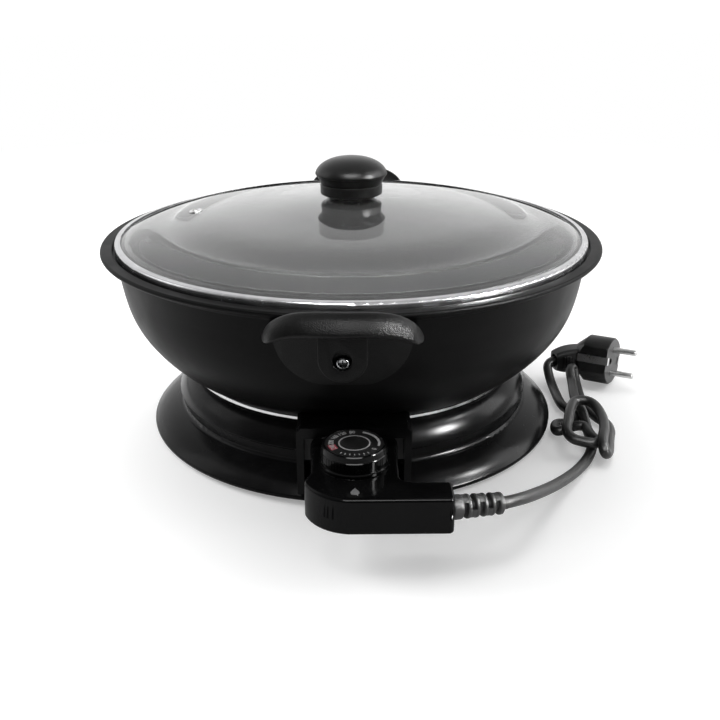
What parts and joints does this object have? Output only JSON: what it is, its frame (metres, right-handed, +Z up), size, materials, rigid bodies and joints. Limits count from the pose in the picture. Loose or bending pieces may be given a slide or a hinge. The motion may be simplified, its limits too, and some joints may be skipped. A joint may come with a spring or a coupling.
{
  "type": "electric wok",
  "caption": "Round table-top electric wok with a lift-off domed glass lid, side grips, a stepped base and a plug-in dial thermostat on a knotted mains cord.",
  "frame": {"origin": "on the table, under the axis of the pan", "axes": "+Z up along the pan's axis; -Y towards the dial thermostat, which is the front; +X to the right, the side where the cord leaves"},
  "size_m": [0.4132, 0.4392, 0.1962],
  "materials": {
    "pan_coating": "satin black coating on die-cast aluminium",
    "bright_aluminium": "polished",
    "sheath_steel": "matt",
    "plated_pins": "nickel plate",
    "black_resin": "satin",
    "spring_steel": "bright",
    "gloss_black": "high gloss",
    "bright_sheet": "bright",
    "base_plate_black": "matt",
    "foot_rubber": "matt",
    "zinc_screws": "zinc plate",
    "handle_phenolic": "fine pebble texture",
    "clear_glass": "clear, tempered",
    "polished_band": "polished stainless steel",
    "knob_phenolic": "satin",
    "brass_insert": "machined",
    "washer_steel": "bright",
    "silicone": "translucent silicone",
    "spring_brass": "bright",
    "white_ceramic": "unglazed",
    "lamp_glass": "clear neon lamp",
    "clear_lens": "smoked lens",
    "cord_rubber": "satin rubber",
    "dial_black": "gloss",
    "dial_print": "printed scale, plain numbers",
    "plug_rubber": "moulded, satin"
  },
  "bodies": {
    "cooker": {"wok_pan": "pan_coating", "trim_ring": "bright_aluminium", "heating_element": "sheath_steel", "terminal_pins": "plated_pins", "probe_guide": "sheath_steel", "terminal_block": "black_resin", "earth_spring": "spring_steel", "base_skirt": "gloss_black", "heat_shield": "bright_sheet", "bottom_plate": "base_plate_black", "feet": "foot_rubber", "skirt_screws": "zinc_screws", "plate_screws": "zinc_screws", "socket_shroud": "black_resin", "shroud_screws": "zinc_screws", "front_handle": "handle_phenolic", "rear_handle": "handle_phenolic", "handle_screws": "zinc_screws"},
    "lid": {"lid_glass": "clear_glass", "lid_band": "polished_band", "steam_vent": "polished_band", "knob_cap": "knob_phenolic", "knob_collar": "knob_phenolic", "knob_insert": "brass_insert", "knob_screw": "zinc_screws", "knob_washers": "washer_steel", "knob_gaskets": "silicone"},
    "control": {"control_upper_shell": "gloss_black", "control_lower_shell": "gloss_black", "shell_screws": "zinc_screws", "contact_housing": "black_resin", "contact_sleeves": "spring_brass", "probe_tube": "plated_pins", "thermostat_frame": "sheath_steel", "dial_bush": "brass_insert", "ceramic_block": "white_ceramic", "switch_blades": "spring_brass", "pilot_lamp": "lamp_glass", "pilot_lens": "clear_lens", "strain_relief": "cord_rubber", "cord_lead": "cord_rubber", "cord_knot": "cord_rubber", "cord_tail": "cord_rubber", "plug_body": "plug_rubber", "plug_prongs": "plated_pins", "plug_earth_clips": "plated_pins"},
    "dial": {"dial_knob": "dial_black", "dial_plate": "dial_print", "dial_spindle": "sheath_steel"}
  },
  "joints": [
    {"name": "lid_lift", "type": "slide", "parent": "cooker", "child": "lid", "axis": [0, 0, 1], "range_m": [0, 0.15]},
    {"name": "control_pull", "type": "slide", "parent": "cooker", "child": "control", "axis": [0, -1, 0], "range_m": [0, 0.09]},
    {"name": "dial_turn", "type": "hinge", "parent": "control", "child": "dial", "pos_m": [0, -0.18, 0.05], "axis": [0, 0, 1], "range_deg": [-60, 210]}
  ]
}
